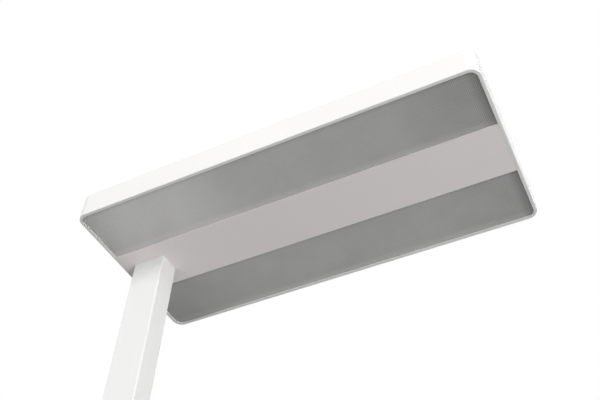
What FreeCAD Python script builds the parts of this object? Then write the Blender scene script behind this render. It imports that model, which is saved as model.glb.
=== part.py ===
import FreeCAD, Part
import math
import os

# Free-standing office floor lamp: a flat head on a rectangular pole, on a steel base plate.
# Millimetres, +Z up. X runs along the head, and the pole stands near the head's -X end.
# The origin is on the floor, below the middle of the head.
# "near" is the -Y side and "far" the +Y side. The mains inlet faces -X and the keys face +X.

# ---------------------------------------------------------------- driving dimensions

# Head
head_length = 710.0
head_width = 325.0
head_height = 50.0
head_underside = 1900.0
corner_radius = 18.0
frame_wall = 2.0
frame_lower_edge = 1.0      # rounding of the frame's lower outer edge
frame_upper_edge = 0.8
rim_width = 5.5             # face of the rim, seen from below
rim_thickness = 2.5
strip_width = 100.0         # plain strip between the panels
channel_gap = 88.0          # clear width between the channel's side walls
channel_wall = 1.5
channel_height = 38.0       # from the underside to the top of the side walls
seam = 0.2                  # hairline between strip and rim
fit = 0.3                   # clearance round pieces that are dropped into a frame
close_fit = 0.1             # clearance round pins, screws and spigots

# Optical stack, from below
panel_thickness = 2.0
guide_thickness = 4.0
reflector_thickness = 0.5
back_thickness = 1.5
rail_thickness = 1.8
rail_reach = 12.0           # flange over the back plate
strip_board_thickness = 1.2
led_height = 0.8
led_length = 3.0
led_width = 2.0
led_pitch = 12.0
tab_length = 20.0           # retaining tabs on the channel's side walls
tab_reach = 6.0
tab_pitch = 190.0
tab_count = 4

# Cover and uplight
cover_thickness = 2.0
lug_width = 18.0
lug_reach = 9.0
lug_thickness = 2.5
lug_end_distance = 60.0     # from the head's end to the outer lugs
window_length = 600.0
window_width = 90.0
lens_flange = 4.0           # how far the lens reaches under the cover
lens_flange_thickness = 1.5
tray_wall = 1.2
uplight_pitch = 25.0
uplight_rows = 3
uplight_row_pitch = 24.0
vent_width = 3.0
vent_length = 26.0
vent_pitch = 12.0
vent_count = 14

# Pole and neck
pole_depth = 62.0           # along X
pole_width = 40.0           # along Y
pole_wall = 2.0
pole_radius = 2.5
pole_inset = 24.0           # from the head's -X end to the pole
neck_height = 20.0
seam_chamfer = 0.4          # on both sides of the seam between neck and pole
spigot_length = 60.0
boss_step = 3.0             # boss through the strip, inside the neck's outline
neck_screw_inset = 8.0      # from the pole's faces to the screw axes
neck_screw_length = 18.0
plate_thickness = 5.0
plate_reach = 20.0          # reinforcing plate beyond the pole
grub_length = 7.0
grub_pitch = 25.0

# Brackets and supply
bracket_thickness = 2.0
bracket_width = 70.0
bracket_height = 26.0
bracket_foot = 14.0
bracket_screw_pitch = 44.0
bracket_grip = 2.0          # how far the bracket screws stand in what carries them
junction_length = 60.0
junction_width = 56.0
junction_height = 32.0
driver_direct_length = 220.0
driver_indirect_length = 160.0
driver_width = 52.0
driver_height = 28.0
driver_edge = 3.0
ear_length = 10.0           # screw ears at the drivers' ends
ear_thickness = 1.5
supply_gap = 22.0           # between the boxes in the channel
wire_radius = 1.5

# Leads
mains_radius = 3.0
control_radius = 1.75
lead_gap = 1.2              # between the two leads
lead_bend = 16.0            # radius on the centre line
lead_straight = 1.0         # before the bend, where the lead leaves the inlet and the grommet
bore_radius = 8.0
grommet_flange = 1.2
grommet_lip = 1.5

# Control unit
control_height = 1150.0     # middle of the keys, above the floor
bezel_lip = 2.0             # plate in front of the pole's face
bezel_overlap = 4.0         # plate beyond the cut-out, above and below
bezel_side = 2.0            # plate beyond the cut-out, left and right
bezel_width = 22.0
bezel_wall = 1.2
bezel_radius = 6.0
bezel_end = 11.0            # solid block at each end, which the board is screwed to
key_count = 4
key_pitch = 22.5
key_width = 16.0
key_height = 18.0
key_radius = 3.0
key_proud = 1.0
key_travel = 0.8
key_clearance = 0.25
key_flange = 1.25           # flange round the key, behind the plate
key_flange_thickness = 1.2
key_mark_depth = 0.4
key_mark_size = 6.0
key_mark_width = 1.2
plunger_radius = 1.75
plunger_entry = 1.0         # how far the plunger stands in the switch at rest
switch_size = 6.0
switch_height = 3.5
switch_margin = 0.4         # left between key and switch when the key is pressed
board_thickness = 1.6
socket_height = 3.0
indicator_radius = 1.5
indicator_offset = 4.5

# Mains inlet
inlet_height = 70.0         # middle of the inlet, above the floor
inlet_width = 27.0
inlet_tall = 20.0
inlet_depth = 18.0
inlet_flange = 2.0
inlet_side_wall = 1.3
inlet_floor = 3.0
inlet_radius = 3.0
pin_width = 2.0
pin_tall = 4.0
pin_length = 13.0
pin_pitch = 7.0
pin_offset = 2.0
boot_length = 6.0

# Foot
base_length = 480.0
base_width = 325.0
base_thickness = 8.0
base_radius = 18.0
base_edge = 1.5
glide_radius = 16.0
glide_height = 3.0          # from the floor to the base plate
glide_pocket = 1.0
glide_inset = 34.0
gasket_thickness = 1.0
gasket_edge = 1.0           # gasket beyond the pole's outline
foot_block_height = 30.0
foot_screw_length = 24.0

# Screws: shank radius, head radius and head height
m3 = 1.5, 2.8, 1.4
m4 = 2.0, 3.8, 2.4
m5 = 2.5, 4.25, 4.0
m6 = 3.0, 5.6, 3.3
m2 = 1.0, 1.9, 1.3

# ---------------------------------------------------------------- helpers

UP = FreeCAD.Vector(0, 0, 1)
DOWN = FreeCAD.Vector(0, 0, -1)
ALONG_X = FreeCAD.Vector(1, 0, 0)
ALONG_Y = FreeCAD.Vector(0, 1, 0)
ORIGIN = FreeCAD.Vector(0, 0, 0)
OVERSHOOT = 1.0             # how far a cutting tool reaches past the face that it opens
SMALLEST = 0.001            # lengths below this count as nothing


def point(x, y, z):
    return FreeCAD.Vector(x, y, z)


def span(centre, width):
    """Limits of a width about its centre."""
    return centre - width / 2, centre + width / 2


def shrink(limits, amount):
    """Limits moved inwards by an amount, or outwards where it is negative."""
    return limits[0] + amount, limits[1] - amount


def spaced(count, pitch, centre=0.0):
    """Evenly spaced places about a centre."""
    return [centre + (i - (count - 1) / 2) * pitch for i in range(count)]


def block(x, y, z):
    """Box between the limits given for each direction."""
    size = x[1] - x[0], y[1] - y[0], z[1] - z[0]
    return Part.makeBox(*size, point(x[0], y[0], z[0]))


def outline(x, y, radius):
    """Rectangle with rounded corners, as a face on the XY plane."""
    corners = [(x[1] - radius, y[0] + radius, 270), (x[1] - radius, y[1] - radius, 0),
               (x[0] + radius, y[1] - radius, 90), (x[0] + radius, y[0] + radius, 180)]
    arcs = [Part.makeCircle(radius, point(cx, cy, 0), UP, start, start + 90)
            for cx, cy, start in corners]
    edges = []
    for arc, following in zip(arcs, arcs[1:] + arcs[:1]):
        leave, meet = arc.Vertexes[-1].Point, following.Vertexes[0].Point
        edges.append(arc)
        if leave.distanceToPoint(meet) > SMALLEST:
            edges.append(Part.LineSegment(leave, meet).toShape())
    return Part.Face(Part.Wire(edges))


def rounded(x, y, z, radius, along="z"):
    """Box with the four edges that run along one direction rounded."""
    across, up, length = (x, y, z) if along == "z" else (y, z, x)
    solid = outline(across, up, radius).extrude(UP * (length[1] - length[0]))
    solid.translate(UP * length[0])
    if along == "x":
        solid.rotate(ORIGIN, point(1, 1, 1), 120)
    return solid


def rod(start, radius, length, direction=UP):
    return Part.makeCylinder(radius, length, start, direction)


def level_edges(shape, height):
    """Edges that lie at one height."""
    return [edge for edge in shape.Edges
            if all(abs(vertex.Z - height) < SMALLEST for vertex in edge.Vertexes)]


def mirrored(shape):
    """The same shape on the other side of the lamp's middle plane."""
    return shape.mirror(ORIGIN, ALONG_Y)


def joined(first, *others):
    return first.fuse(list(others)).removeSplitter()


def group(solids):
    return Part.makeCompound(list(solids))


def hex_socket(seat, reach, depth, direction):
    """Tool for a hexagonal socket whose corners are at reach from the screw's axis."""
    sideways = ALONG_Y if direction.isEqual(ALONG_X, SMALLEST) else ALONG_X
    corners = [seat + FreeCAD.Rotation(direction, 60 * turn).multVec(sideways) * reach
               for turn in range(7)]
    return Part.Face(Part.makePolygon(corners)).extrude(direction * depth)


def screw(seat, size, length, direction, countersunk=False):
    """Screw whose head's outer face is at seat, pointing along direction."""
    radius, head_radius, head_height = size
    if countersunk:
        head = Part.makeCone(head_radius, radius, head_height, seat, direction)
    else:
        head = rod(seat, head_radius, head_height, direction)
    shank = rod(seat + direction * head_height, radius, length, direction)
    return head.fuse(shank).cut(hex_socket(seat, head_radius / 2, head_height * 0.55, direction))


def countersink(seat, size, depth, direction):
    """Tool that cuts a countersunk hole with clearance round the screw."""
    radius, head_radius, head_height = size
    head = Part.makeCone(head_radius + close_fit, radius + close_fit, head_height, seat, direction)
    hole = rod(seat, radius + close_fit, depth, direction)
    return head.fuse(hole)


def lead(corners, radius, bend):
    """Round lead through the corners, with an arc of the bend radius at each one."""
    edges = []
    start = corners[0]
    for corner, following in zip(corners[1:], corners[2:]):
        arriving = (corner - start).normalize()
        leaving = (following - corner).normalize()
        half_turn = arriving.getAngle(leaving) / 2
        setback = bend * math.tan(half_turn)
        entry = corner - arriving * setback
        leave = corner + leaving * setback
        inward = (leaving - arriving).normalize()
        middle = corner + inward * (bend / math.cos(half_turn) - bend)
        edges.append(Part.LineSegment(start, entry).toShape())
        edges.append(Part.Arc(entry, middle, leave).toShape())
        start = leave
    edges.append(Part.LineSegment(start, corners[-1]).toShape())
    path = Part.Wire(edges)
    direction = (corners[1] - corners[0]).normalize()
    section = Part.Wire(Part.makeCircle(radius, corners[0], direction))
    tube = path.makePipeShell([section], True, True)
    expected = math.pi * radius ** 2 * path.Length
    print(f"lead of {path.Length:.1f} mm, bend {bend:.1f} mm, volume ratio {tube.Volume / expected:.4f}")
    return tube


# ---------------------------------------------------------------- places shared by the pieces

head_x = span(0, head_length)
head_y = span(0, head_width)
head_top = head_underside + head_height
inside_x = shrink(head_x, frame_wall)
inside_y = shrink(head_y, frame_wall)
inside_radius = corner_radius - frame_wall
rim_top = head_underside + rim_thickness            # panels and strip walls rest here
cover_bottom = head_top - cover_thickness

channel_inside = span(0, channel_gap)
channel_outside = shrink(channel_inside, -channel_wall)
channel_top = head_underside + channel_height
strip_y = span(0, strip_width)
strip_x = shrink(head_x, rim_width + seam)

# The stack on the near side; the far side is its mirror image
panel_x = shrink(inside_x, fit)
panel_y = inside_y[0] + fit, channel_outside[0] - fit
guide_bottom = rim_top + panel_thickness
reflector_bottom = guide_bottom + guide_thickness
back_bottom = reflector_bottom + reflector_thickness
stack_top = back_bottom + back_thickness
rail_x = shrink(head_x, corner_radius + fit)
rail_y = inside_y[0] + fit, inside_y[0] + fit + rail_thickness
strip_board_y = rail_y[1], rail_y[1] + strip_board_thickness
led_y = strip_board_y[1], strip_board_y[1] + led_height
guide_y = led_y[1] + close_fit, panel_y[1]
sheet_y = strip_board_y[1] + close_fit, panel_y[1]

pole_x = head_x[0] + pole_inset, head_x[0] + pole_inset + pole_depth
pole_y = span(0, pole_width)
pole_top = head_underside - neck_height
base_bottom = glide_height
base_top = base_bottom + base_thickness
pole_bottom = base_top + gasket_thickness
hollow_x = shrink(pole_x, pole_wall)
hollow_y = shrink(pole_y, pole_wall)
hollow_radius = pole_radius - pole_wall

plate_top = rim_top + plate_thickness
plate_x = inside_x[0] + bracket_thickness + 2 * fit, pole_x[1] + plate_reach
neck_screw_places = [(x, y) for x in shrink(pole_x, neck_screw_inset)
                     for y in shrink(pole_y, neck_screw_inset)]

inlet_back = pole_x[0] + inlet_depth
boot_back = inlet_back + boot_length
lead_x = boot_back + lead_straight + lead_bend
mains_y = -(mains_radius + lead_gap / 2)
control_y = control_radius + lead_gap / 2
grommet_top = plate_top + grommet_lip
lead_z = grommet_top + lead_straight + lead_bend    # height of the leads' run to the junction box
junction_x = plate_x[1] + supply_gap, plate_x[1] + supply_gap + junction_length
direct_x = junction_x[1] + supply_gap, junction_x[1] + supply_gap + driver_direct_length
indirect_x = direct_x[1] + supply_gap, direct_x[1] + supply_gap + driver_indirect_length
driver_y = span(0, driver_width)
driver_top = rim_top + driver_height
wire_z = rim_top + driver_height / 2
feed_z = stack_top + rail_thickness + 2 * wire_radius
led_feed_x = (direct_x[0] + direct_x[1]) / 2
uplight_feed_x = (indirect_x[0] + indirect_x[1]) / 2

tray_x = span(0, window_length + 2 * lens_flange)
tray_y = span(0, window_width + 2 * lens_flange)
tray_floor_top = channel_top + tray_wall
uplight_board_top = tray_floor_top + board_thickness
lens_bottom = cover_bottom - lens_flange_thickness
window_x = span(0, window_length)
window_y = span(0, window_width)

# Control unit: measured inwards, in -X, from the pole's +X face
face_x = pole_x[1]
key_front = face_x + bezel_lip + key_proud
key_flange_front = face_x - key_clearance
key_flange_back = key_flange_front - key_flange_thickness
switch_front = key_flange_back - key_travel - switch_margin
board_front = switch_front - switch_height
board_back = board_front - board_thickness
socket_back = board_back - socket_height
control_y_limits = span(0, bezel_width)
control_z = shrink(span(control_height, key_count * key_pitch), -bezel_end)
key_heights = spaced(key_count, key_pitch, control_height)
end_heights = [control_z[0] + bezel_end / 2, control_z[1] - bezel_end / 2]

cover_lugs = [(x, y) for x in shrink(head_x, lug_end_distance) + (0.0,) for y in inside_y]
end_lugs = [(x, 0.0) for x in inside_x]
base_x = head_x[0], head_x[0] + base_length
base_y = span(0, base_width)
glide_places = [(x, y) for x in shrink(base_x, glide_inset) for y in shrink(base_y, glide_inset)]


# ---------------------------------------------------------------- head

def lug_screw_places():
    """Axes of the cover's screws, in the middle of each lug."""
    half = lug_reach / 2
    sides = [(x, y + half if y < 0 else y - half) for x, y in cover_lugs]
    ends = [(x + half if x < 0 else x - half, y) for x, y in end_lugs]
    return sides + ends


def make_head_frame():
    outside = rounded(head_x, head_y, (head_underside, head_top), corner_radius)
    outside = outside.makeFillet(frame_lower_edge, level_edges(outside, head_underside))
    outside = outside.makeFillet(frame_upper_edge, level_edges(outside, head_top))
    hollow = rounded(inside_x, inside_y, (rim_top, head_top + OVERSHOOT), inside_radius)
    mouth = rounded(shrink(head_x, rim_width), shrink(head_y, rim_width),
                    (head_underside - OVERSHOOT, rim_top + OVERSHOOT), corner_radius - rim_width)
    frame = outside.cut([hollow, mouth])
    lug_z = cover_bottom - lug_thickness, cover_bottom
    root = frame_wall / 2
    lugs = []
    for x, y in cover_lugs:
        reach = (y - root, y + lug_reach) if y < 0 else (y - lug_reach, y + root)
        lugs.append(block(span(x, lug_width), reach, lug_z))
    for x, y in end_lugs:
        reach = (x - root, x + lug_reach) if x < 0 else (x - lug_reach, x + root)
        lugs.append(block(reach, span(y, lug_width), lug_z))
    frame = joined(frame, *lugs)
    holes = [rod(point(x, y, lug_z[0] - OVERSHOOT), m3[0] + close_fit, lug_thickness + 2 * OVERSHOOT)
             for x, y in lug_screw_places()]
    return frame.cut(holes)


def make_centre_channel():
    floor = block(strip_x, strip_y, (head_underside, rim_top))
    tab_z = stack_top, stack_top + channel_wall
    pieces = []
    for side in (-1, 1):
        wall_y = sorted((side * channel_inside[1], side * channel_outside[1]))
        pieces.append(block(panel_x, wall_y, (rim_top, channel_top)))
        tab_y = sorted((side * channel_inside[1], side * (channel_outside[1] + tab_reach)))
        pieces += [block(span(x, tab_length), tab_y, tab_z) for x in spaced(tab_count, tab_pitch)]
    channel = joined(floor, *pieces)
    opening = rounded(shrink(pole_x, boss_step - close_fit), shrink(pole_y, boss_step - close_fit),
                      (head_underside - OVERSHOOT, rim_top + OVERSHOOT), pole_radius)
    feed_hole = rod(point(led_feed_x, channel_outside[0] - OVERSHOOT, feed_z), wire_radius + fit,
                    channel_outside[1] - channel_outside[0] + 2 * OVERSHOOT, ALONG_Y)
    studs = [rod(point(x, y, rim_top + OVERSHOOT), m4[0] + close_fit, OVERSHOOT + bracket_grip, DOWN)
             for x, y in bracket_screw_places("right")]
    return channel.cut([opening, feed_hole] + studs)


def make_stack_sheet(y, z):
    """Sheet of one side's stack, with rounded corners on the frame's side only."""
    corner = inside_radius - fit
    sheet = rounded(panel_x, (y[0], y[1] + 2 * corner), z, corner)
    return sheet.common(block(panel_x, y, z))


def make_led_rail():
    upright = block(rail_x, rail_y, (guide_bottom, stack_top))
    flange = block(rail_x, (rail_y[0], rail_y[1] + rail_reach), (stack_top, stack_top + rail_thickness))
    return joined(upright, flange)


def make_led_strip():
    return block(rail_x, strip_board_y, (guide_bottom, stack_top))


def make_strip_leds():
    count = int((rail_x[1] - rail_x[0]) // led_pitch)
    middle = guide_bottom + guide_thickness / 2
    return [block(span(x, led_length), led_y, span(middle, led_width)) for x in spaced(count, led_pitch)]


def make_led_feed():
    """Wire from the driver's side to a plug on the rail, on the near side."""
    plug_y = rail_y[1], rail_y[1] + rail_reach
    plug_z = stack_top + rail_thickness, feed_z + 2 * wire_radius
    plug = block(span(led_feed_x, 4 * wire_radius), plug_y, plug_z)
    wire = rod(point(led_feed_x, driver_y[0], feed_z), wire_radius, driver_y[0] - plug_y[1], -ALONG_Y)
    return [plug, wire]


def make_top_cover():
    sheet = rounded(panel_x, shrink(inside_y, fit), (cover_bottom, head_top), inside_radius - fit)
    window = block(shrink(window_x, -fit), shrink(window_y, -fit),
                   (cover_bottom - OVERSHOOT, head_top + OVERSHOOT))
    vent_y = (window_y[1] + inside_y[1]) / 2
    vents = [rounded(span(x, vent_width), span(side * vent_y, vent_length),
                     (cover_bottom - OVERSHOOT, head_top + OVERSHOOT), vent_width / 2)
             for side in (-1, 1) for x in spaced(vent_count, vent_pitch)]
    sinks = [countersink(point(x, y, head_top), m3, cover_thickness + OVERSHOOT, DOWN)
             for x, y in lug_screw_places()]
    return sheet.cut([window] + vents + sinks)


def make_top_cover_screws():
    length = cover_thickness + lug_thickness - m3[2] + OVERSHOOT
    return group(screw(point(x, y, head_top), m3, length, DOWN, True) for x, y in lug_screw_places())


def make_uplight_tray():
    tray = block(tray_x, tray_y, (channel_top, lens_bottom))
    hollow = block(shrink(tray_x, tray_wall), shrink(tray_y, tray_wall),
                   (tray_floor_top, lens_bottom + OVERSHOOT))
    feed_hole = rod(point(uplight_feed_x, 0, channel_top - OVERSHOOT), wire_radius + fit,
                    tray_wall + 2 * OVERSHOOT)
    return tray.cut([hollow, feed_hole])


def make_uplight_board():
    return block(shrink(tray_x, tray_wall + fit), shrink(tray_y, tray_wall + fit),
                 (tray_floor_top, uplight_board_top))


def make_uplight_leds():
    count = int(window_length // uplight_pitch)
    heights = uplight_board_top, uplight_board_top + led_height
    return group(block(span(x, led_length), span(y, led_length), heights)
                 for x in spaced(count, uplight_pitch) for y in spaced(uplight_rows, uplight_row_pitch))


def make_uplight_lens():
    flange = block(shrink(tray_x, fit), shrink(tray_y, fit), (lens_bottom, cover_bottom))
    window = block(window_x, window_y, (cover_bottom, head_top))
    return joined(flange, window)


# ---------------------------------------------------------------- inside the channel

def bracket_seat(end):
    """Height that the foot of an end bracket stands on: the plate at the pole's end, or the floor."""
    return plate_top if end == "left" else rim_top


def bracket_x(end):
    upright = bracket_thickness
    if end == "left":
        return inside_x[0] + fit, inside_x[0] + fit + upright, inside_x[0] + fit + bracket_foot
    return inside_x[1] - fit, inside_x[1] - fit - upright, inside_x[1] - fit - bracket_foot


def bracket_screw_places(end):
    outer, inner, tip = bracket_x(end)
    return [((inner + tip) / 2, y) for y in spaced(2, bracket_screw_pitch)]


def make_end_bracket(end):
    outer, inner, tip = bracket_x(end)
    seat = bracket_seat(end)
    width = span(0, bracket_width)
    upright = block(sorted((outer, inner)), width, (seat, seat + bracket_height))
    foot = block(sorted((outer, tip)), width, (seat, seat + bracket_thickness))
    holes = [rod(point(x, y, seat - OVERSHOOT), m4[0] + close_fit, bracket_thickness + 2 * OVERSHOOT)
             for x, y in bracket_screw_places(end)]
    return joined(upright, foot).cut(holes)


def make_bracket_screws():
    screws = []
    for end in ("left", "right"):
        head = bracket_seat(end) + bracket_thickness + m4[2]
        screws += [screw(point(x, y, head), m4, bracket_thickness + bracket_grip - close_fit, DOWN)
                   for x, y in bracket_screw_places(end)]
    return group(screws)


def make_reinforcing_plate():
    plate = block(plate_x, shrink(channel_inside, fit), (rim_top, plate_top))
    depth = plate_thickness + 2 * OVERSHOOT
    holes = [rod(point(x, y, rim_top - OVERSHOOT), m5[0] + close_fit, depth) for x, y in neck_screw_places]
    holes.append(rod(point(lead_x, 0, rim_top - OVERSHOOT), bore_radius, depth))
    holes += [rod(point(x, y, plate_top + OVERSHOOT), m4[0] + close_fit, OVERSHOOT + bracket_grip, DOWN)
              for x, y in bracket_screw_places("left")]
    return plate.cut(holes)


def make_neck_screws():
    head = plate_top + m5[2]
    return group(screw(point(x, y, head), m5, plate_thickness + neck_screw_length, DOWN)
                 for x, y in neck_screw_places)


def make_cable_grommet():
    sleeve = rod(point(lead_x, 0, rim_top), bore_radius - close_fit, plate_thickness + grommet_lip)
    flange = rod(point(lead_x, 0, plate_top), bore_radius + grommet_flange, grommet_lip)
    depth = plate_thickness + grommet_lip + 2 * OVERSHOOT
    holes = [rod(point(lead_x, y, rim_top - OVERSHOOT), radius + fit, depth)
             for y, radius in ((mains_y, mains_radius), (control_y, control_radius))]
    return joined(sleeve, flange).cut(holes)


def make_junction_box():
    box = block(junction_x, span(0, junction_width), (rim_top, rim_top + junction_height))
    return box.makeChamfer(driver_edge / 2, level_edges(box, rim_top + junction_height))


def driver_screw_places():
    return [(x, 0.0) for limits in (direct_x, indirect_x) for x in shrink(limits, ear_length / 2)]


def make_driver(limits):
    case = block(shrink(limits, ear_length), driver_y, (rim_top, driver_top))
    case = case.makeChamfer(driver_edge, level_edges(case, driver_top))
    ears = block(limits, span(0, driver_width / 2), (rim_top, rim_top + ear_thickness))
    holes = [rod(point(x, y, rim_top - OVERSHOOT), m3[0] + close_fit, ear_thickness + 2 * OVERSHOOT)
             for x, y in driver_screw_places()]
    return joined(case, ears).cut(holes)


def make_driver_screws():
    """Screws that hold the drivers' ears: short studs stand on the channel's floor."""
    head = rim_top + ear_thickness + m3[2]
    return group(screw(point(x, y, head), m3, ear_thickness, DOWN) for x, y in driver_screw_places())


def make_driver_leads():
    """Wires between junction box and drivers, end face to end face."""
    gaps = [(junction_x[1], direct_x[0] + ear_length),
            (direct_x[1] - ear_length, indirect_x[0] + ear_length)]
    return group(rod(point(low, y, wire_z), wire_radius, high - low, ALONG_X)
                 for low, high in gaps for y in spaced(3, 4 * wire_radius))


def make_uplight_feed():
    return rod(point(uplight_feed_x, 0, driver_top), wire_radius, tray_floor_top - driver_top)


# ---------------------------------------------------------------- neck and pole

def grub_places():
    first = pole_top - (spigot_length - grub_pitch) / 2
    return [point(pole_x[0] + close_fit, 0, first - i * grub_pitch) for i in range(2)]


def make_neck_adapter():
    neck = rounded(pole_x, pole_y, (pole_top, head_underside), pole_radius)
    neck = neck.makeChamfer(seam_chamfer, level_edges(neck, pole_top))
    boss = rounded(shrink(pole_x, boss_step), shrink(pole_y, boss_step),
                   (head_underside, rim_top), pole_radius)
    spigot = rounded(shrink(hollow_x, close_fit), shrink(hollow_y, close_fit),
                     (pole_top - spigot_length, pole_top), hollow_radius)
    adapter = joined(neck, boss, spigot)
    bore_length = rim_top - pole_top + spigot_length + 2 * OVERSHOOT
    bore = rod(point(lead_x, 0, pole_top - spigot_length - OVERSHOOT), bore_radius, bore_length)
    threads = [rod(point(x, y, rim_top + OVERSHOOT), m5[0] + close_fit,
                   neck_screw_length + 2 * OVERSHOOT, DOWN) for x, y in neck_screw_places]
    seats = [rod(place, m6[0] + close_fit, grub_length + close_fit, ALONG_X) for place in grub_places()]
    return adapter.cut([bore] + threads + seats)


def make_pole_tube():
    pole = rounded(pole_x, pole_y, (pole_bottom, pole_top), pole_radius)
    pole = pole.makeChamfer(seam_chamfer, level_edges(pole, pole_top))
    hollow = rounded(hollow_x, hollow_y, (pole_bottom - OVERSHOOT, pole_top + OVERSHOOT), hollow_radius)
    keys = rounded((face_x - pole_wall - OVERSHOOT, face_x + OVERSHOOT),
                   shrink(control_y_limits, -close_fit), shrink(control_z, -close_fit),
                   bezel_radius / 2, "x")
    inlet = rounded((pole_x[0] - OVERSHOOT, pole_x[0] + pole_wall + OVERSHOOT),
                    span(0, inlet_width + 2 * close_fit),
                    span(inlet_height, inlet_tall + 2 * close_fit), inlet_radius, "x")
    grubs = [rod(place - ALONG_X * OVERSHOOT, m6[0] + close_fit, pole_wall + 2 * OVERSHOOT, ALONG_X)
             for place in grub_places()]
    return pole.cut([hollow, keys, inlet] + grubs)


def make_pole_grub_screws():
    grubs = []
    for place in grub_places():
        grub = rod(place, m6[0], grub_length, ALONG_X)
        grubs.append(grub.cut(hex_socket(place, m6[0] * 0.6, grub_length / 2, ALONG_X)))
    return group(grubs)


def make_mains_lead():
    corners = [point(boot_back, mains_y, inlet_height), point(lead_x, mains_y, inlet_height),
               point(lead_x, mains_y, lead_z), point(junction_x[0], mains_y, lead_z)]
    return lead(corners, mains_radius, lead_bend)


def make_control_lead():
    bend = socket_back - lead_x - close_fit
    low = control_height
    corners = [point(socket_back, control_y, low), point(lead_x, control_y, low),
               point(lead_x, control_y, lead_z), point(junction_x[0], control_y, lead_z)]
    return lead(corners, control_radius, bend)


# ---------------------------------------------------------------- control unit

def make_control_bezel():
    body_x = board_back, face_x
    body = rounded(body_x, control_y_limits, control_z, bezel_radius / 2, "x")
    hollow_z = key_heights[0] - key_pitch / 2, key_heights[-1] + key_pitch / 2
    hollow = block((board_back - OVERSHOOT, face_x), shrink(control_y_limits, bezel_wall), hollow_z)
    board_seat = block((board_back - OVERSHOOT, board_front), shrink(control_y_limits, bezel_wall),
                       shrink(control_z, bezel_wall))
    plate = rounded((face_x, face_x + bezel_lip), shrink(control_y_limits, -bezel_side),
                    shrink(control_z, -bezel_overlap), bezel_radius, "x")
    plate = plate.makeChamfer(bezel_lip / 4, [edge for edge in plate.Edges
                              if all(abs(v.X - face_x - bezel_lip) < SMALLEST for v in edge.Vertexes)])
    bezel = joined(body, plate).cut([hollow, board_seat])
    through = face_x - OVERSHOOT, face_x + bezel_lip + OVERSHOOT
    windows = [rounded(through, span(0, key_width + 2 * key_clearance),
                       span(z, key_height + 2 * key_clearance), key_radius, "x") for z in key_heights]
    light = rod(point(board_front - OVERSHOOT, -indicator_offset, end_heights[1]),
                indicator_radius + close_fit, face_x + bezel_lip - board_front + 2 * OVERSHOOT, ALONG_X)
    pilots = [rod(place - ALONG_X * OVERSHOOT, m2[0] + close_fit, m2[2] + OVERSHOOT + board_screw_grip(),
                  ALONG_X) for place in board_screw_places()]
    return bezel.cut(windows + [light] + pilots)


def board_screw_grip():
    """How far the board's screws stand in the end blocks."""
    return (face_x - board_front) / 2


def board_screw_places():
    return [point(board_front, indicator_offset, z) for z in end_heights]


def make_control_board():
    board = block((board_back, board_front), shrink(control_y_limits, bezel_wall + close_fit),
                  shrink(control_z, bezel_wall + close_fit))
    return board.cut([rod(place + ALONG_X * OVERSHOOT, m2[0] + close_fit, board_thickness + 2 * OVERSHOOT,
                          -ALONG_X) for place in board_screw_places()])


def make_board_screws():
    head = m2[2] + board_thickness
    length = board_thickness + board_screw_grip() - close_fit
    return group(screw(place - ALONG_X * head, m2, length, ALONG_X) for place in board_screw_places())


def make_tact_switches():
    switches = []
    for z in key_heights:
        body = block((board_front, switch_front), span(0, switch_size), span(z, switch_size))
        depth = plunger_entry + key_travel + switch_margin
        bore = rod(point(switch_front + OVERSHOOT, 0, z), plunger_radius + close_fit,
                   OVERSHOOT + depth, -ALONG_X)
        switches.append(body.cut(bore))
    return group(switches)


def key_mark(kind, z):
    """Plain sign sunk into a key's face: ring, plus, minus or dot."""
    x = key_front - key_mark_depth, key_front + OVERSHOOT
    depth = x[1] - x[0]
    middle = point(x[0], 0, z)
    if kind == "ring":
        inner = rod(middle, key_mark_size / 2 - key_mark_width, depth, ALONG_X)
        return rod(middle, key_mark_size / 2, depth, ALONG_X).cut(inner)
    if kind == "dot":
        return rod(middle, key_mark_size / 4, depth, ALONG_X)
    bar = block(x, span(0, key_mark_size), span(z, key_mark_width))
    if kind == "minus":
        return bar
    return bar.fuse(block(x, span(0, key_mark_width), span(z, key_mark_size)))


def make_key(kind, z):
    cap = rounded((key_flange_front, key_front), span(0, key_width), span(z, key_height), key_radius, "x")
    flange = rounded((key_flange_back, key_flange_front), span(0, key_width + 2 * key_flange),
                     span(z, key_height + 2 * key_flange), key_radius, "x")
    plunger_tip = switch_front - plunger_entry
    plunger = rod(point(plunger_tip, 0, z), plunger_radius, key_flange_front - plunger_tip, ALONG_X)
    return joined(cap, flange, plunger).cut(key_mark(kind, z))


def make_indicator_light():
    return rod(point(board_front, -indicator_offset, end_heights[1]), indicator_radius,
               face_x + bezel_lip - board_front, ALONG_X)


def make_control_socket():
    size = 4 * control_radius
    return block((socket_back, board_back), span(control_y, size), span(control_height, size))


# ---------------------------------------------------------------- mains inlet

def make_mains_inlet():
    body = rounded((pole_x[0], inlet_back), span(0, inlet_width), span(inlet_height, inlet_tall),
                   inlet_radius, "x")
    flange = rounded((pole_x[0] - inlet_flange, pole_x[0]), span(0, inlet_width + 2 * inlet_flange),
                     span(inlet_height, inlet_tall + 2 * inlet_flange), inlet_radius, "x")
    cavity = rounded((pole_x[0] - inlet_flange - OVERSHOOT, inlet_back - inlet_floor),
                     span(0, inlet_width - 2 * inlet_side_wall),
                     span(inlet_height, inlet_tall - 2 * inlet_side_wall),
                     inlet_radius - inlet_side_wall, "x")
    slots = [block((inlet_back - inlet_floor - OVERSHOOT, inlet_back + OVERSHOOT),
                   span(y, pin_width + 2 * close_fit), span(z, pin_tall + 2 * close_fit))
             for y, z in pin_places()]
    return joined(body, flange).cut([cavity] + slots)


def pin_places():
    """Line and neutral low, earth high in the middle."""
    return [(-pin_pitch, inlet_height - pin_offset), (pin_pitch, inlet_height - pin_offset),
            (0.0, inlet_height + pin_offset)]


def make_inlet_pins():
    front = inlet_back - inlet_floor - pin_length
    return group(block((front, inlet_back), span(y, pin_width), span(z, pin_tall)) for y, z in pin_places())


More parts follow.
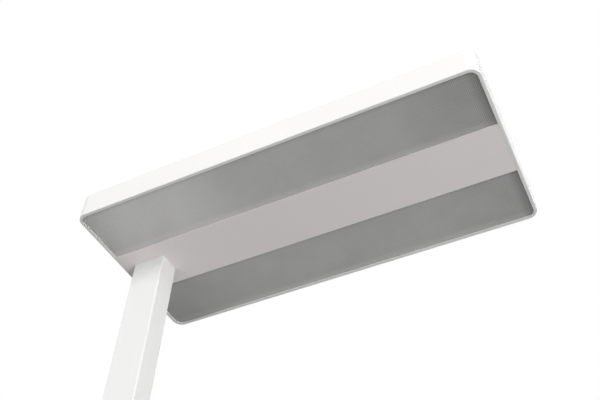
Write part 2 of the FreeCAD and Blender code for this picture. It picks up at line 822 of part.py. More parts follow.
def make_inlet_boot():
    width = shrink(span(0, inlet_width), inlet_side_wall)
    height = shrink(span(inlet_height, inlet_tall), inlet_side_wall)
    return rounded((inlet_back, boot_back), width, height, inlet_radius, "x")


# ---------------------------------------------------------------- foot

foot_screw_places = neck_screw_places


def make_foot_block():
    body = rounded(shrink(hollow_x, close_fit), shrink(hollow_y, close_fit),
                   (pole_bottom, pole_bottom + foot_block_height), hollow_radius)
    threads = [rod(point(x, y, pole_bottom - OVERSHOOT), m6[0] + close_fit,
                   foot_screw_length + 2 * OVERSHOOT) for x, y in foot_screw_places]
    return body.cut(threads)


def make_foot_gasket():
    sheet = rounded(shrink(pole_x, -gasket_edge), shrink(pole_y, -gasket_edge),
                    (base_top, pole_bottom), pole_radius + gasket_edge)
    return sheet.cut([rod(point(x, y, base_top - OVERSHOOT), m6[0] + close_fit,
                          gasket_thickness + 2 * OVERSHOOT) for x, y in foot_screw_places])


def make_base_plate():
    plate = rounded(base_x, base_y, (base_bottom, base_top), base_radius)
    plate = plate.makeFillet(base_edge, level_edges(plate, base_top))
    pockets = [rod(point(x, y, base_bottom - OVERSHOOT), glide_radius + close_fit, OVERSHOOT + glide_pocket)
               for x, y in glide_places]
    sinks = [countersink(point(x, y, base_bottom), m6, base_thickness + OVERSHOOT, UP)
             for x, y in foot_screw_places]
    return plate.cut(pockets + sinks)


def make_base_screws():
    length = base_thickness + gasket_thickness - m6[2] + foot_screw_length
    return group(screw(point(x, y, base_bottom), m6, length, UP, True) for x, y in foot_screw_places)


def make_glides():
    glides = []
    for x, y in glide_places:
        glide = rod(point(x, y, 0), glide_radius, glide_height + glide_pocket)
        glides.append(glide.makeChamfer(glide_height / 4, level_edges(glide, 0)))
    return group(glides)


# ---------------------------------------------------------------- all the pieces

parts = {
    "head_frame": make_head_frame(),
    "centre_channel": make_centre_channel(),
    "direct_leds": group(make_strip_leds() + [mirrored(led) for led in make_strip_leds()]),
    "led_feeds": group(make_led_feed() + [mirrored(piece) for piece in make_led_feed()]),
    "top_cover": make_top_cover(),
    "top_cover_screws": make_top_cover_screws(),
    "uplight_tray": make_uplight_tray(),
    "uplight_board": make_uplight_board(),
    "uplight_leds": make_uplight_leds(),
    "uplight_lens": make_uplight_lens(),
    "uplight_feed": make_uplight_feed(),
    "end_bracket_left": make_end_bracket("left"),
    "end_bracket_right": make_end_bracket("right"),
    "bracket_screws": make_bracket_screws(),
    "reinforcing_plate": make_reinforcing_plate(),
    "neck_screws": make_neck_screws(),
    "neck_adapter": make_neck_adapter(),
    "cable_grommet": make_cable_grommet(),
    "junction_box": make_junction_box(),
    "driver_direct": make_driver(direct_x),
    "driver_indirect": make_driver(indirect_x),
    "driver_screws": make_driver_screws(),
    "driver_leads": make_driver_leads(),
    "pole_tube": make_pole_tube(),
    "pole_grub_screws": make_pole_grub_screws(),
    "mains_lead": make_mains_lead(),
    "control_lead": make_control_lead(),
    "control_bezel": make_control_bezel(),
    "control_board": make_control_board(),
    "board_screws": make_board_screws(),
    "control_socket": make_control_socket(),
    "tact_switches": make_tact_switches(),
    "indicator_light": make_indicator_light(),
    "mains_inlet": make_mains_inlet(),
    "inlet_pins": make_inlet_pins(),
    "inlet_boot": make_inlet_boot(),
    "foot_block": make_foot_block(),
    "foot_gasket": make_foot_gasket(),
    "base_plate": make_base_plate(),
    "base_screws": make_base_screws(),
    "glides": make_glides(),
}

# The pieces that each panel's side has for itself, near and far
near_pieces = {
    "prismatic_panel": make_stack_sheet(panel_y, (rim_top, guide_bottom)),
    "light_guide": make_stack_sheet(guide_y, (guide_bottom, reflector_bottom)),
    "reflector_sheet": make_stack_sheet(sheet_y, (reflector_bottom, back_bottom)),
    "back_plate": make_stack_sheet(sheet_y, (back_bottom, stack_top)),
    "led_rail": make_led_rail(),
    "led_strip": make_led_strip(),
}
for name, piece in near_pieces.items():
    parts[name + "_near"] = piece
    parts[name + "_far"] = mirrored(piece)

# The keys, from the top down
key_marks = {"key_power": "ring", "key_brighter": "plus", "key_dimmer": "minus", "key_auto": "dot"}
for (name, mark), height in zip(key_marks.items(), reversed(key_heights)):
    parts[name] = make_key(mark, height)

os.makedirs("parts", exist_ok=True)
for name, shape in parts.items():
    shape.exportStep(f"parts/{name}.step")
    print(f"{name}: {len(shape.Solids)} solids, {shape.Volume / 1000:.2f} cm3, valid {shape.isValid()}")
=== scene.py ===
# %% [markdown]
# This scene dresses a free-standing office floor lamp: a flat white head with two patterned
# panels, on a rectangular pole and a steel foot. The built pieces come in from the frame at
# their real size, and this script gives each one its finish, adds the fine relief that the
# frame leaves out, and sets the light and the camera.

# %% Load the frame
import math

import bmesh
import bpy
from mathutils import Matrix, Vector


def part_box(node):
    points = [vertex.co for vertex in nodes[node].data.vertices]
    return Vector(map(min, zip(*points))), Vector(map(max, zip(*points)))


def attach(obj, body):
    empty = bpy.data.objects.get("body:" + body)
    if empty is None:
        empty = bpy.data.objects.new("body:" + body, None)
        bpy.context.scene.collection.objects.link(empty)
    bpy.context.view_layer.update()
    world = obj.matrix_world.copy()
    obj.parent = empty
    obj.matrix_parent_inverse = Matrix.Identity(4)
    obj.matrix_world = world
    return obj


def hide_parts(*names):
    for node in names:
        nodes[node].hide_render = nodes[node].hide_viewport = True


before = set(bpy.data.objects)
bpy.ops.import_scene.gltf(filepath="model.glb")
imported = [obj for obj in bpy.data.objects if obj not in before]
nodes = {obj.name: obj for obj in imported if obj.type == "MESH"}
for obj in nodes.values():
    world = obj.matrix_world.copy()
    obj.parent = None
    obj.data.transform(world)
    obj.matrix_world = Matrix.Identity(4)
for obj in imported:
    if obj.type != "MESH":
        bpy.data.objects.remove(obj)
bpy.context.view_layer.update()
print("pieces from the frame:", len(nodes))

# %% [markdown]
# Lengths below are in metres, and most are easier to read in millimetres, so one short name
# turns one into the other. A box's corners give every place that a later cell needs.

# %% Units and boxes
MM = 0.001


class Limits:
    """Lowest and highest corner of a frame piece, and its middle."""

    def __init__(self, node):
        low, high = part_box(node)
        self.low, self.high = Vector(low), Vector(high)
        self.middle = (self.low + self.high) / 2
        self.size = self.high - self.low


head = Limits("head_frame")
print("head in mm:", [round(side / MM, 1) for side in head.size])

# %% [markdown]
# A finish is easier to read as a sum than as a row of boxes and wires. This class wraps the
# output of a shader node, so that 1 - mask or noise * 0.2 adds the Math node by itself.

# %% Shader arithmetic
class Signal:
    """Output of a shader node that can be used in sums."""

    def __init__(self, finish, socket):
        self.finish, self.socket = finish, socket

    def _math(self, operation, first, second):
        return self.finish.node("ShaderNodeMath", {"operation": operation}, {0: first, 1: second})

    def __add__(self, other):
        return self._math("ADD", self, other)

    def __sub__(self, other):
        return self._math("SUBTRACT", self, other)

    def __rsub__(self, other):
        return self._math("SUBTRACT", other, self)

    def __mul__(self, other):
        return self._math("MULTIPLY", self, other)

    __radd__ = __add__
    __rmul__ = __mul__

    def clamp(self):
        return self.finish.node("ShaderNodeClamp", {}, {"Value": self})

    def absolute(self):
        return self._math("ABSOLUTE", self, 0)

    def smaller(self, other):
        return self._math("MINIMUM", self, other)

    def ramp(self, period):
        """How far the value is from the nearest multiple of period, from 0 to half of it."""
        return self._math("PINGPONG", self, period / 2)

    def rise(self, start, end):
        """0 below start, 1 above end, and a smooth step between."""
        settings = {"interpolation_type": "SMOOTHSTEP"}
        return self.finish.node("ShaderNodeMapRange", settings,
                                {"Value": self, "From Min": start, "From Max": end})

    def patches(self):
        """A noise stays near its middle, so this spreads it over 0 to 1 in soft patches."""
        return self.rise(0.3, 0.7)


print("sums, masks and ramps are ready")

# %% [markdown]
# The next class holds one material round a Principled shader. Its method node makes any node
# from its type, its settings and its inputs. The other methods are the few nodes that nearly
# every finish here needs: the place on the piece, noise, a mix of two colours, and relief.

# %% A material
class Finish:
    """One material, built up node by node round a Principled shader."""

    def __init__(self, name, **shader_values):
        self.material = bpy.data.materials.new(name)
        self.material.use_nodes = True
        self.tree = self.material.node_tree
        self.tree.nodes.clear()
        self.shader = self.tree.nodes.new("ShaderNodeBsdfPrincipled")
        self.surface = self.tree.nodes.new("ShaderNodeOutputMaterial")
        self.tree.links.new(self.shader.outputs["BSDF"], self.surface.inputs["Surface"])
        for socket, value in shader_values.items():
            self.shader.inputs[socket.replace("_", " ")].default_value = value

    def node(self, kind, settings, inputs, output=0):
        made = self.tree.nodes.new(kind)
        for setting, value in settings.items():
            setattr(made, setting, value)
        for socket, value in inputs.items():
            self.plug(made.inputs[socket], value)
        return Signal(self, made.outputs[output])

    def plug(self, socket, value):
        if isinstance(value, Signal):
            self.tree.links.new(value.socket, socket)
        else:
            socket.default_value = value

    def place(self):
        """Place on the object, in metres of the frame."""
        return self.node("ShaderNodeTexCoord", {}, {}, "Object")

    def axes(self):
        split = self.node("ShaderNodeSeparateXYZ", {}, {"Vector": self.place()})
        outputs = split.socket.node.outputs
        return [Signal(self, outputs[name]) for name in "XYZ"]

    def noise(self, size, detail=2.0, roughness=0.5, stretch=(1, 1, 1)):
        """Noise whose patches are about one size across, in metres."""
        mapped = self.node("ShaderNodeMapping", {"vector_type": "POINT"},
                           {"Vector": self.place(), "Scale": stretch})
        return self.node("ShaderNodeTexNoise", {"noise_dimensions": "3D"},
                         {"Vector": mapped, "Scale": 1 / size, "Detail": detail,
                          "Roughness": roughness}, "Fac")

    def mix(self, factor, first, second):
        """Colour between two colours."""
        settings = {"data_type": "RGBA", "blend_type": "MIX"}
        inputs = {0: factor, 6: first, 7: second}
        return self.node("ShaderNodeMix", settings, inputs, 2)

    def relief(self, height, depth, under=None):
        """Bump of a height from 0 to 1 over a depth in metres, on top of another relief."""
        inputs = {"Height": height, "Distance": depth, "Strength": 1.0}
        if under is not None:
            inputs["Normal"] = under
        return self.node("ShaderNodeBump", {}, inputs, "Normal")

    def feed(self, **sockets):
        for socket, value in sockets.items():
            self.plug(self.shader.inputs[socket.replace("_", " ")], value)
        return self.material

    def blend(self, shader, factor):
        """Mixes another shader in, as far as the factor says."""
        either = self.node("ShaderNodeMixShader", {}, {0: factor, 2: shader}, "Shader")
        self.tree.links.new(self.shader.outputs["BSDF"], either.socket.node.inputs[1])
        self.tree.links.new(either.socket, self.surface.inputs["Surface"])


print("materials can be made")

# %% [markdown]
# A frame piece keeps its mesh and its place. Only the material in its slot is changed.

# %% Painting frame pieces
def paint(material, *names):
    """Gives frame pieces a material in place of the one that they came with."""
    for name in names:
        slots = nodes[name].material_slots
        for slot in slots:
            slot.material = material
        if not slots:
            nodes[name].data.materials.append(material)
    print(material.name, "on", ", ".join(names))


# %% [markdown]
# Powder coat is not a flat colour. The powder melts into a skin with a fine, rolling surface
# called orange peel, a little under a millimetre from hump to hump, with much finer grain on
# it. Its gloss wanders a little. A bump of two noises gives the surface, and a slow noise
# moves the tone and the roughness by a few parts in a hundred. The frame's coat shines the
# least, so that the thin rim doesn't mirror the surround.

# %% White powder coat
COAT_ROUGHNESS = 0.42
ROUGHNESS_DRIFT = 0.08              # from the glossiest to the dullest patch


def powder_coat(name, colour, shade, peel=0.02 * MM, shine=0.5):
    """White coat: colour and shade are its two tones, peel is the depth of its orange peel."""
    coat = Finish(name, Specular_IOR_Level=shine)
    tone = coat.noise(180 * MM, detail=3.0)
    hump = coat.noise(0.9 * MM, detail=1.0)
    grain = coat.noise(0.22 * MM, detail=0.0)
    surface = coat.relief(hump * 0.8 + grain * 0.2, peel)
    return coat, tone, surface, coat.mix(tone.patches(), shade, colour)


def plain_powder_coat(name, colour, shade, roughness=COAT_ROUGHNESS, **settings):
    coat, tone, surface, colours = powder_coat(name, colour, shade, **settings)
    dullness = tone * ROUGHNESS_DRIFT + (roughness - ROUGHNESS_DRIFT / 2)
    return coat.feed(Base_Color=colours, Roughness=dullness, Normal=surface)


frame_coat = plain_powder_coat("frame_coat", (0.85, 0.845, 0.838, 1), (0.835, 0.83, 0.823, 1),
                               roughness=0.6, shine=0.1)
strip_coat = plain_powder_coat("strip_coat", (0.87, 0.83, 0.815, 1), (0.855, 0.82, 0.805, 1))
cover_coat = plain_powder_coat("cover_coat", (0.82, 0.82, 0.815, 1), (0.79, 0.79, 0.785, 1))
pole_coat = plain_powder_coat("pole_coat", (0.81, 0.81, 0.805, 1), (0.79, 0.79, 0.785, 1),
                              roughness=0.65)
paint(frame_coat, "head_frame")
paint(strip_coat, "centre_channel")
paint(cover_coat, "top_cover")
paint(pole_coat, "pole_tube", "neck_adapter")

# %% [markdown]
# Each panel is a sheet of clear acrylic with a grid of small pyramids moulded into its lower
# face. They turn glare away from people at their desks. The pyramids are made as real relief,
# not as a bump, so that light from the side picks out their faces. First come the sizes: the
# grid is centred on the part of the sheet that shows inside the rim.

# %% Sizes of the prism panels
PRISM_PITCH = 2.5 * MM
PRISM_HEIGHT = 0.45 * MM
PRISM_MARGIN = 2.0 * MM             # flat border between the relief and the visible edge
RIM_WIDTH = 5.5 * MM
RIM_RADIUS = 12.5 * MM              # inner corner of the rim
STRIP_HALF = 50.0 * MM              # the plain strip between the panels
SHEET_RADIUS = 15.7 * MM            # outer corners of the sheet itself
ARC_STEPS = 12
FIELD_X = head.high.x - RIM_WIDTH - PRISM_MARGIN            # the pyramids reach from -FIELD_X to
FIELD_Y = (STRIP_HALF + PRISM_MARGIN,                       # +FIELD_X, and across between these
           head.high.y - RIM_WIDTH - PRISM_MARGIN)
COLUMNS = int(2 * FIELD_X / PRISM_PITCH)
ROWS = int((FIELD_Y[1] - FIELD_Y[0]) / PRISM_PITCH)
FIRST_X = -COLUMNS * PRISM_PITCH / 2
FIRST_Y = (sum(FIELD_Y) - ROWS * PRISM_PITCH) / 2
print("each panel has", COLUMNS, "by", ROWS, "pyramids")

# %% [markdown]
# The sheet is a little larger than what shows of it, because it lies on the rim. Its corners
# next to the frame are rounded, and those at the strip are square. In the rim's rounded
# corners a few pyramids would run into the rim, so they are left out.

# %% Outline of a sheet
def sheet_outline(low, high, side):
    """Corners of the sheet, seen from above: rounded next to the frame, square at the strip."""
    points = []
    outer, inner = (high.y, low.y) if side > 0 else (low.y, high.y)
    for end in (1, -1):
        x = high.x if end > 0 else low.x
        centre = Vector((x - end * SHEET_RADIUS, outer - side * SHEET_RADIUS))
        arc = []
        for step in range(ARC_STEPS + 1):
            turn = math.radians(90) * step / ARC_STEPS
            across, along = end * math.cos(turn), side * math.sin(turn)
            arc.append(centre + SHEET_RADIUS * Vector((across, along)))
        points += [Vector((x, inner))] + arc if end > 0 else arc[::-1] + [Vector((x, inner))]
    return points


def in_rim_corner(x, y):
    """Whether a pyramid at this place would run into a rounded corner of the rim."""
    centre_x, centre_y = head.high.x - RIM_WIDTH - RIM_RADIUS, head.high.y - RIM_WIDTH - RIM_RADIUS
    over_x, over_y = abs(x) - centre_x, abs(y) - centre_y
    reach = RIM_RADIUS - PRISM_PITCH
    return over_x > 0 and over_y > 0 and math.hypot(over_x, over_y) > reach


print("rounded corners of a sheet:", round(SHEET_RADIUS / MM, 1), "mm")

# %% [markdown]
# The mesh is built face by face: a grid of points with a tip below the middle of each square,
# and round it the flat border, the side walls and the top. The border is a ring between two
# closed outlines, and one triangle fill closes it.

# %% A prism sheet
def prism_panel(name, node, material):
    """Sheet with a grid of pyramids on the part of its lower face that can be seen."""
    limits = Limits(node)
    side = 1 if limits.middle.y > 0 else -1
    bottom, top = limits.low.z, limits.high.z
    mesh = bmesh.new()

    grid = [[mesh.verts.new((FIRST_X + i * PRISM_PITCH, side * (FIRST_Y + j * PRISM_PITCH), bottom))
             for j in range(ROWS + 1)] for i in range(COLUMNS + 1)]
    for i in range(COLUMNS):
        for j in range(ROWS):
            ring = [grid[i][j], grid[i + 1][j], grid[i + 1][j + 1], grid[i][j + 1]]
            x = FIRST_X + (i + 0.5) * PRISM_PITCH
            y = side * (FIRST_Y + (j + 0.5) * PRISM_PITCH)
            if in_rim_corner(x, y):
                mesh.faces.new(ring)
                continue
            tip = mesh.verts.new((x, y, bottom - PRISM_HEIGHT))
            for first, second in zip(ring, ring[1:] + ring[:1]):
                mesh.faces.new((first, second, tip))
    border = [edge for edge in mesh.edges if edge.is_boundary]

    outline = sheet_outline(limits.low, limits.high, side)
    lower = [mesh.verts.new((p.x, p.y, bottom)) for p in outline]
    upper = [mesh.verts.new((p.x, p.y, top)) for p in outline]
    rim = [mesh.edges.new((a, b)) for a, b in zip(lower, lower[1:] + lower[:1])]
    bmesh.ops.triangle_fill(mesh, edges=border + rim, use_beauty=True)
    for a, b, c, d in zip(lower, lower[1:] + lower[:1], upper[1:] + upper[:1], upper):
        mesh.faces.new((a, b, c, d))
    mesh.faces.new(upper)
    bmesh.ops.recalc_face_normals(mesh, faces=mesh.faces[:])

    data = bpy.data.meshes.new(name)
    mesh.to_mesh(data)
    mesh.free()
    panel = bpy.data.objects.new(name, data)
    bpy.context.scene.collection.objects.link(panel)
    data.materials.append(material)
    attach(panel, "stand")
    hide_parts(node)
    print(name, "has", len(data.polygons), "faces")


print("prism sheets can be made")

# %% [markdown]
# Unlit, the panels look grey, because one sees past the prisms into the dark head. The grey is
# partly metallic, for the reflector behind the sheet. Light and shade are painted on top of it:
# painted shade in the valleys between the pyramids, at both ends, much darker just before the
# end away from the pole, and along one long edge; a painted light band along the other long
# edge; and on the near sheet painted light that grows towards the pole's end, with a soft
# painted gleam near it.

# %% Prismatic acrylic
# Sizes and strengths of the painted light and painted shade in the sheet's colour.
LIT_EDGE = 16 * MM                  # width of the light band along one long edge
DIM_EDGE = 10 * MM                  # width of the dark band along the other
LEFT_SHADE = 220 * MM               # how far the shade at the pole's end reaches
RIGHT_SHADE = (160 * MM, 6 * MM)    # the free end grows darker from here to here
CORNER_SHADE = (26 * MM, 8 * MM)    # and much darker from here to here
GLEAM_IN = (10 * MM, 100 * MM)      # the gleam near the pole rises over this stretch
GLEAM_OUT = (150 * MM, 300 * MM)    # and fades over this one
VALLEY = 0.25 * PRISM_PITCH         # half the width of the dark line between two pyramids
EDGE_LIGHT = 0.5                    # how strong each of these is, from 0 to 1
EDGE_DIM = 0.2
RIGHT_DIM = 0.14
CORNER_DIM = 0.25
VALLEY_DIM = 0.46


def prism_acrylic(name, side, low_y, high_y, left_light, left_dim):
    """Grey-looking clear acrylic of the sheet that shows from low_y to high_y, on one side, with
    painted light and shade in its colour.
    """
    acrylic = Finish(name, Specular_IOR_Level=0.5, IOR=1.49)
    x, y = acrylic.axes()[:2]
    left, right = head.low.x, head.high.x
    column = (x - FIRST_X).ramp(PRISM_PITCH)
    row = (y * side - FIRST_Y).ramp(PRISM_PITCH)
    valley_shade = 1 - column.smaller(row).rise(0, VALLEY)
    lit_edge = y.rise(high_y - LIT_EDGE, high_y)
    dim_edge = 1 - y.rise(low_y, low_y + DIM_EDGE)
    leftward_light = 1 - x.rise(left, right)
    gleam = (x.rise(left + GLEAM_IN[0], left + GLEAM_IN[1])
             * (1 - x.rise(left + GLEAM_OUT[0], left + GLEAM_OUT[1])))
    left_end_shade = 1 - x.rise(left, left + LEFT_SHADE)
    right_end_shade = x.rise(right - RIGHT_SHADE[0], right - RIGHT_SHADE[1])
    right_edge_shade = x.rise(right - CORNER_SHADE[0], right - CORNER_SHADE[1])
    cloud = acrylic.noise(70 * MM, detail=2.0)
    speck = acrylic.noise(1.1 * MM, detail=1.0)
    tone = acrylic.mix(cloud.patches(), (0.495, 0.493, 0.492, 1), (0.46, 0.458, 0.457, 1))
    # Painted light: a band along the high long edge, and on the near sheet light that grows towards
    # the pole's end, with a soft gleam near it.
    light = lit_edge * EDGE_LIGHT + (leftward_light + gleam) * left_light
    lit = acrylic.mix(light, tone, (0.78, 0.775, 0.77, 1))
    # Painted shade: along the low long edge, at both ends, much darker just before the end away
    # from the pole, and in the valleys between the pyramids.
    dim = (dim_edge * EDGE_DIM + left_end_shade * left_dim + right_end_shade * RIGHT_DIM
           + right_edge_shade * CORNER_DIM + valley_shade * VALLEY_DIM)
    colour = acrylic.mix(dim.clamp(), lit, (0.08, 0.08, 0.079, 1))
    surface = acrylic.relief(speck, 0.02 * MM)
    return acrylic.feed(Base_Color=colour, Roughness=speck * 0.1 + 0.3,
                        Metallic=0.65, Normal=surface)


INSIDE_RIM = head.high.y - RIM_WIDTH
near_acrylic = prism_acrylic("prism_acrylic_near", -1, -INSIDE_RIM, -STRIP_HALF,
                             left_light=0.42, left_dim=0.07)
far_acrylic = prism_acrylic("prism_acrylic_far", 1, STRIP_HALF, INSIDE_RIM,
                            left_light=0.0, left_dim=0.22)
prism_panel("prism_sheet_near", "prismatic_panel_near", near_acrylic)
prism_panel("prism_sheet_far", "prismatic_panel_far", far_acrylic)

# %% [markdown]
# The small pieces are moulded plastic, rubber, plated steel and bare aluminium. Moulded
# plastic takes the fine erosion of its tool, so it gets a close grain. Sheet metal keeps the
# lines of the rolling mill along its length, so its noise is stretched out along one axis.

# %% Plastics, rubber and metals
ALONG_X = (1 / 12, 1, 1)            # stretches noise out into lines along X


def opaque(colour, factor=1.0):
    """Colour with its three parts times the factor, and no transparency."""
    return tuple(factor * part for part in colour) + (1,)


def moulded_plastic(name, colour, roughness=0.5, grain=0.35 * MM, depth=0.015 * MM):
    plastic = Finish(name, Specular_IOR_Level=0.5)
    pits = plastic.noise(grain, detail=1.0)
    tone = plastic.noise(40 * MM)
    colours = plastic.mix(tone.patches(), opaque(colour, 0.9), opaque(colour))
    return plastic.feed(Base_Color=colours, Roughness=pits * 0.2 + (roughness - 0.1),
                        Normal=plastic.relief(pits, depth))


def rolled_metal(name, colour, roughness=0.35):
    """Metal with fine lines along X."""
    metal = Finish(name)
    lines = metal.noise(0.5 * MM, detail=2.0, stretch=ALONG_X)
    stain = metal.noise(25 * MM, detail=3.0)
    colours = metal.mix(stain.rise(0.3, 0.75), opaque(colour, 0.82), opaque(colour))
    return metal.feed(Base_Color=colours, Metallic=1.0, Roughness=lines * 0.25 + (roughness - 0.1),
                      Normal=metal.relief(lines, 0.004 * MM))


def plated_steel(name, colour, roughness=0.3):
    """Zinc or nickel plate: slightly cloudy, with small crystals."""
    plate = Finish(name)
    crystals = plate.node("ShaderNodeTexVoronoi", {"feature": "F1"},
                          {"Vector": plate.place(), "Scale": 1 / (1.5 * MM)}, "Distance")
    cloud = plate.noise(6 * MM, detail=2.0)
    colours = plate.mix(cloud.patches(), opaque(colour, 0.8), opaque(colour))
    return plate.feed(Base_Color=colours, Metallic=1.0, Roughness=crystals * 0.15 + roughness,
                      Normal=plate.relief(crystals, 0.006 * MM))


aluminium = rolled_metal("mill_aluminium", (0.82, 0.82, 0.83))
zinc = plated_steel("zinc_plate", (0.74, 0.75, 0.76))
nickel = plated_steel("nickel_plate", (0.80, 0.77, 0.70), roughness=0.2)
black_steel = plated_steel("black_oxide", (0.10, 0.10, 0.11), roughness=0.4)
rubber = moulded_plastic("black_rubber", (0.035, 0.035, 0.035), roughness=0.75, grain=0.6 * MM)
glide_plastic = moulded_plastic("glide_plastic", (0.20, 0.20, 0.205), roughness=0.55)
inlet_plastic = moulded_plastic("inlet_plastic", (0.03, 0.03, 0.032), roughness=0.42)
bezel_plastic = moulded_plastic("bezel_plastic", (0.45, 0.45, 0.455), roughness=0.45)
case_plastic = moulded_plastic("case_plastic", (0.80, 0.80, 0.79), roughness=0.5)
sheath_black = moulded_plastic("sheath_black", (0.04, 0.04, 0.04), roughness=0.5)
sheath_white = moulded_plastic("sheath_white", (0.80, 0.80, 0.79), roughness=0.5)
board_white = moulded_plastic("board_white", (0.83, 0.83, 0.80), roughness=0.35, grain=0.8 * MM)
board_green = moulded_plastic("board_green", (0.03, 0.20, 0.09), roughness=0.35, grain=0.8 * MM)
phosphor = moulded_plastic("led_phosphor", (0.85, 0.66, 0.12), roughness=0.3, grain=0.1 * MM)
film = moulded_plastic("reflector_film", (0.90, 0.90, 0.89), roughness=0.65, grain=0.5 * MM)

paint(aluminium, "back_plate_near", "back_plate_far", "led_rail_near", "led_rail_far",
      "uplight_tray")
paint(zinc, "end_bracket_left", "end_bracket_right", "bracket_screws", "reinforcing_plate",
      "neck_screws", "top_cover_screws", "driver_screws", "board_screws", "foot_block",
      "base_screws")
paint(nickel, "inlet_pins")
paint(black_steel, "pole_grub_screws")
paint(rubber, "cable_grommet", "foot_gasket")
paint(glide_plastic, "glides")
paint(inlet_plastic, "mains_inlet", "inlet_boot", "junction_box", "control_socket",
      "tact_switches")
paint(bezel_plastic, "control_bezel")
paint(case_plastic, "driver_direct", "driver_indirect")
paint(sheath_black, "mains_lead")
paint(sheath_white, "control_lead", "driver_leads", "led_feeds", "uplight_feed")
paint(board_white, "led_strip_near", "led_strip_far", "uplight_board")
paint(board_green, "control_board")
paint(phosphor, "direct_leds", "uplight_leds")
paint(film, "reflector_sheet_near", "reflector_sheet_far")

# %% [markdown]
# Light guides are polished clear acrylic with a grid of printed dots that let the light out.
# The window for the light to the ceiling is the same acrylic with a satin face: it scatters
# the light, so it looks milky.

# %% Clear and satin acrylic
def clear_acrylic():
    acrylic = Finish("clear_acrylic", Transmission_Weight=0.9, IOR=1.49)
    dots = acrylic.node("ShaderNodeTexVoronoi", {"feature": "F1"},
                        {"Vector": acrylic.place(), "Scale": 1 / (2.5 * MM), "Randomness": 0.0},
                        "Distance")
    dot = 1 - dots.rise(0.15, 0.3)
    colour = acrylic.mix(dot, (0.93, 0.95, 0.95, 1), (0.85, 0.85, 0.85, 1))
    return acrylic.feed(Base_Color=colour, Roughness=dot * 0.4 + 0.05)


def satin_acrylic():
    satin = Finish("satin_acrylic", Specular_IOR_Level=0.45, IOR=1.49,
                   Subsurface_Weight=0.25, Subsurface_Radius=(0.004, 0.004, 0.004))
    frost = satin.noise(0.3 * MM, detail=1.0)
    tone = satin.noise(90 * MM)
    colour = satin.mix(tone.patches(), (0.92, 0.925, 0.92, 1), (0.95, 0.95, 0.945, 1))
    return satin.feed(Base_Color=colour, Roughness=frost * 0.15 + 0.25,
                      Normal=satin.relief(frost, 0.01 * MM))


paint(clear_acrylic(), "light_guide_near", "light_guide_far", "indicator_light")
paint(satin_acrylic(), "uplight_lens")

# %% [markdown]
# The foot is a thick steel plate, coated like the pole. It is the piece that shoes and mops
# reach, so its upper face has a little dust and a few dull rubs.

# %% Foot coat
def foot_coat():
    coat, _, surface, colours = powder_coat(
        "foot_coat", (0.85, 0.85, 0.845, 1), (0.83, 0.83, 0.825, 1), peel=0.03 * MM)
    rub = coat.noise(30 * MM, detail=4.0, roughness=0.65, stretch=(1, 3, 1)).rise(0.6, 0.75)
    dust = coat.noise(55 * MM, detail=5.0, roughness=0.7).rise(0.5, 0.8)
    dusty = coat.mix(dust * 0.25, colours, (0.70, 0.69, 0.67, 1))
    return coat.feed(Base_Color=dusty, Normal=surface,
                     Roughness=rub * 0.12 + dust * 0.1 + COAT_ROUGHNESS)


paint(foot_coat(), "base_plate")

# %% [markdown]
# Each key carries a plain sign, sunk into its face and filled with dark paint. The paint is
# a mask: whatever lies below the face and inside the sign's square is painted.

# %% Keys
KEYS = ("key_power", "key_brighter", "key_dimmer", "key_auto")
SIGN_HALF = 3.2 * MM
SIGN_STEP = 0.1 * MM


def key_finish(node):
    limits = Limits(node)
    key = Finish(node + "_finish", Specular_IOR_Level=0.5)
    x, y, z = key.axes()
    below = 1 - x.rise(limits.high.x - 2 * SIGN_STEP, limits.high.x - SIGN_STEP)
    across = 1 - (y - limits.middle.y).absolute().rise(SIGN_HALF, SIGN_HALF + SIGN_STEP)
    upright = 1 - (z - limits.middle.z).absolute().rise(SIGN_HALF, SIGN_HALF + SIGN_STEP)
    grain = key.noise(0.3 * MM, detail=1.0)
    worn = key.noise(9 * MM, detail=3.0).rise(0.35, 0.7)
    plastic = key.mix(worn, (0.82, 0.82, 0.81, 1), (0.78, 0.78, 0.77, 1))
    colour = key.mix(below * across * upright, plastic, (0.05, 0.05, 0.055, 1))
    return key.feed(Base_Color=colour, Roughness=grain * 0.15 + worn * -0.08 + 0.4,
                    Normal=key.relief(grain, 0.012 * MM))


for node in KEYS:
    paint(key_finish(node), node)

# %% [markdown]
# The floor is a plain pale sheet. It matters more here than usual, because much of the light
# on the head's lower face comes off the floor. The eye sees it fade into the white surround,
# while the light that it throws back is that of a grey floor.

# %% Floor
SEEN = ("Is Camera Ray", "Is Glossy Ray", "Is Transmission Ray")
FLOOR_HALF = 9.0
FLOOR_FADE = (0.8, 4.2)             # from here the floor turns white, as far as here
FLOOR_BOUNCE = 0.3                  # how light the floor is for the light that it throws back
FLOOR_SEEN = (0.72, 0.72, 0.715, 1)


def pale_floor():
    mesh = bpy.data.meshes.new("floor")
    corners = [(x * FLOOR_HALF, y * FLOOR_HALF, 0) for x, y in ((-1, -1), (1, -1), (1, 1), (-1, 1))]
    mesh.from_pydata(corners, [], [(0, 1, 2, 3)])
    floor = bpy.data.objects.new("floor", mesh)
    bpy.context.scene.collection.objects.link(floor)
    finish = Finish("pale_floor", Specular_IOR_Level=0.1, Roughness=0.8)
    camera_ray, glossy_ray, through_ray = (
        finish.node("ShaderNodeLightPath", {}, {}, kind) for kind in SEEN)
    seen = (camera_ray + glossy_ray + through_ray).clamp()
    distance = finish.node("ShaderNodeVectorMath", {"operation": "LENGTH"},
                           {"Vector": finish.place()}, "Value")
    fade = distance.rise(*FLOOR_FADE)
    colour = finish.mix(seen, (FLOOR_BOUNCE,) * 3 + (1,), FLOOR_SEEN)
    mesh.materials.append(finish.feed(Base_Color=colour))
    white = finish.node("ShaderNodeEmission", {}, {"Color": (1, 1, 1, 1), "Strength": 1.0},
                        "Emission")
    finish.blend(white, seen * fade)
    print("floor:", 2 * FLOOR_HALF, "m wide, white from", FLOOR_FADE[1], "m out")


pale_floor()

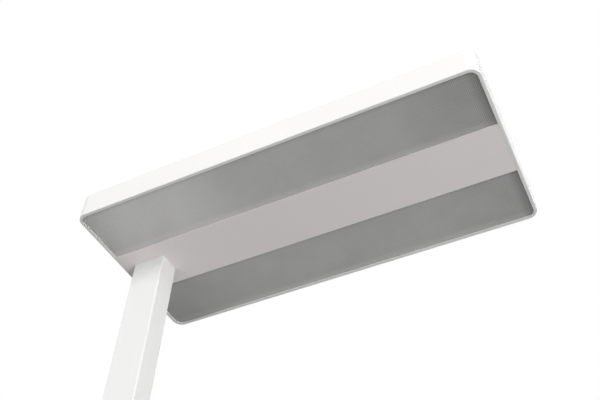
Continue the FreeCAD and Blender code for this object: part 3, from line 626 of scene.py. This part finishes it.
# %% [markdown]
# The light is that of a plain studio. A large softbox in front of the lamp and one at its far
# side light its walls and the pole. The middle of the front one is above the head, so that the
# head shades the top of the pole. A small low one to the right throws a little light up under
# the head, so that the thin edges of its rim stand out and the pole leaves a soft shadow beside
# it. It is narrow, so that it leaves the floor alone, and is kept out of reflections, where it
# would show as a streak. Two weak ones, above and behind, keep the cover and the back of the
# pole from going dark. The surround is white for the eye, and lights the lamp much less.

# %% World and lights
SURROUND_LIGHT = 0.33


def surround():
    world = bpy.data.worlds.new("studio")
    bpy.context.scene.world = world
    world.use_nodes = True
    tree = world.node_tree
    tree.nodes.clear()
    rays = tree.nodes.new("ShaderNodeLightPath")
    output = tree.nodes.new("ShaderNodeOutputWorld")
    seen = rays.outputs[SEEN[0]]
    for kind in SEEN[1:]:
        either = tree.nodes.new("ShaderNodeMath")
        either.operation = "MAXIMUM"
        tree.links.new(seen, either.inputs[0])
        tree.links.new(rays.outputs[kind], either.inputs[1])
        seen = either.outputs[0]
    choice = tree.nodes.new("ShaderNodeMixShader")
    tree.links.new(seen, choice.inputs[0])
    for socket, strength in ((1, SURROUND_LIGHT), (2, 1.0)):
        background = tree.nodes.new("ShaderNodeBackground")
        background.inputs["Color"].default_value = (1, 1, 1, 1)
        background.inputs["Strength"].default_value = strength
        tree.links.new(background.outputs[0], choice.inputs[socket])
    tree.links.new(choice.outputs[0], output.inputs["Surface"])
    print("the surround lights the lamp at", SURROUND_LIGHT)


def softbox(name, place, size, power, spread=180, in_reflections=True):
    """Rectangular lamp that shines at the head."""
    light = bpy.data.lights.new(name, "AREA")
    light.shape = "RECTANGLE"
    light.size, light.size_y = size
    light.energy = power
    light.spread = math.radians(spread)
    lamp = bpy.data.objects.new(name, light)
    lamp.location = place
    lamp.rotation_euler = (head.middle - Vector(place)).to_track_quat("-Z", "Y").to_euler()
    lamp.visible_camera = False
    lamp.visible_glossy = in_reflections
    bpy.context.scene.collection.objects.link(lamp)
    print(name, "gives", power, "W")


surround()
softbox("front_softbox", (0.4, -6.3, 2.6), (3.2, 3.4), power=302)
softbox("side_softbox", (4.5, 2.0, 2.1), (2.0, 2.0), power=88)
softbox("low_softbox", (2.3, -0.8, 0.25), (1.6, 0.4), power=4.7, spread=60, in_reflections=False)
softbox("overhead_softbox", (-1.2, 1.6, 3.6), (1.4, 1.4), power=26)
softbox("back_softbox", (-3.5, 3.2, 2.5), (2.0, 2.0), power=35)

# %% [markdown]
# The camera stands low, in front of the lamp and a little to its right, and looks up at the
# head. It is turned to the left, tilted up and rolled a little, so that its turn is the
# product of three plain turns.

# %% Camera
LENS = 48.13                        # on a sensor 36 mm wide
STAND = Vector((437.5, -827.4, 929.9)) * MM
TURN_LEFT = math.radians(28.40)
TILT_UP = math.radians(47.21)
ROLL = math.radians(2.5)

camera_data = bpy.data.cameras.new("camera")
camera_data.lens = LENS
camera_data.sensor_width = 36.0
camera_data.clip_start = 0.05
camera = bpy.data.objects.new("camera", camera_data)
turns = (Matrix.Rotation(TURN_LEFT, 4, "Z") @ Matrix.Rotation(math.pi / 2 + TILT_UP, 4, "X")
         @ Matrix.Rotation(ROLL, 4, "Z"))
camera.matrix_world = Matrix.Translation(STAND) @ turns
bpy.context.scene.collection.objects.link(camera)
bpy.context.scene.camera = camera
bpy.context.scene.view_settings.view_transform = "Standard"
print("camera at", [round(part, 3) for part in STAND], "with a lens of", LENS, "mm")
